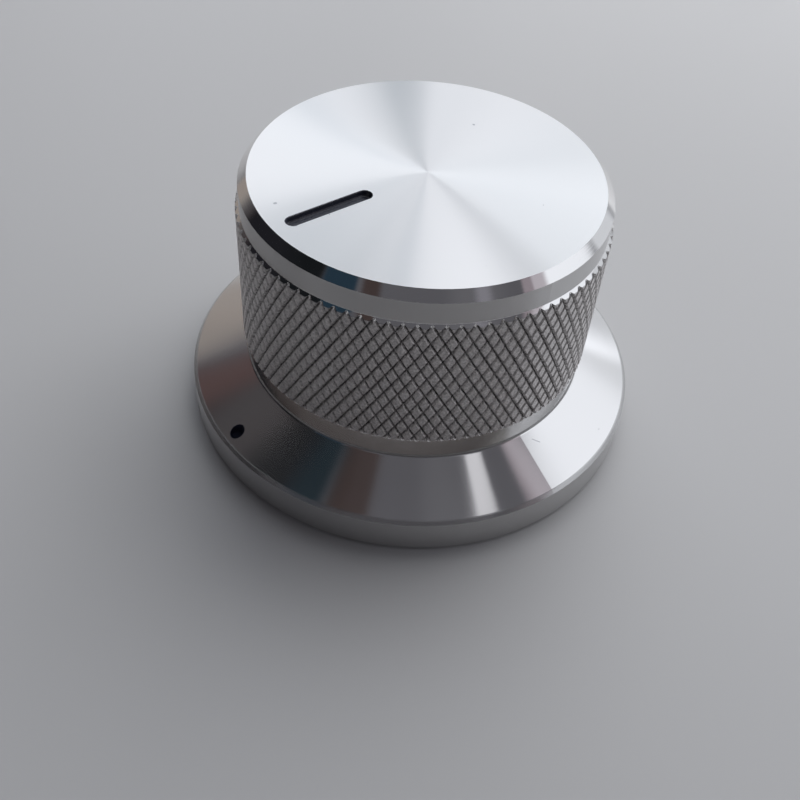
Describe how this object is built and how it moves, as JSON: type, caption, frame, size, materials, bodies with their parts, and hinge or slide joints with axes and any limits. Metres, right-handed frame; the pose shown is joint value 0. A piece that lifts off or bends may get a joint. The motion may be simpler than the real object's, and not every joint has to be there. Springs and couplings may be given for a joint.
{
  "type": "knurled control knob",
  "caption": "Round aluminium control knob with a diamond-knurled grip, a conical skirt, a recessed pointer slot and a blind shaft bore with a radial set screw.",
  "frame": {"origin": "centre of the base, on the plane that the knob stands on", "axes": "+Z along the shaft axis towards the top face; the pointer faces -Y and the set screw faces +Y"},
  "size_m": [0.044, 0.044, 0.0253],
  "materials": {
    "aluminium": "turned aluminium, clear anodised: spun top face, diamond-cut chamfer and cone, satin band, neck and rim",
    "black_steel": "black oxide on steel",
    "black_paint": "satin black enamel in the pointer slot and the dot"
  },
  "bodies": {
    "root": {"knob_body": "aluminium", "set_screw": "black_steel", "pointer_paint": "black_paint", "dot_paint": "black_paint"}
  },
  "joints": []
}
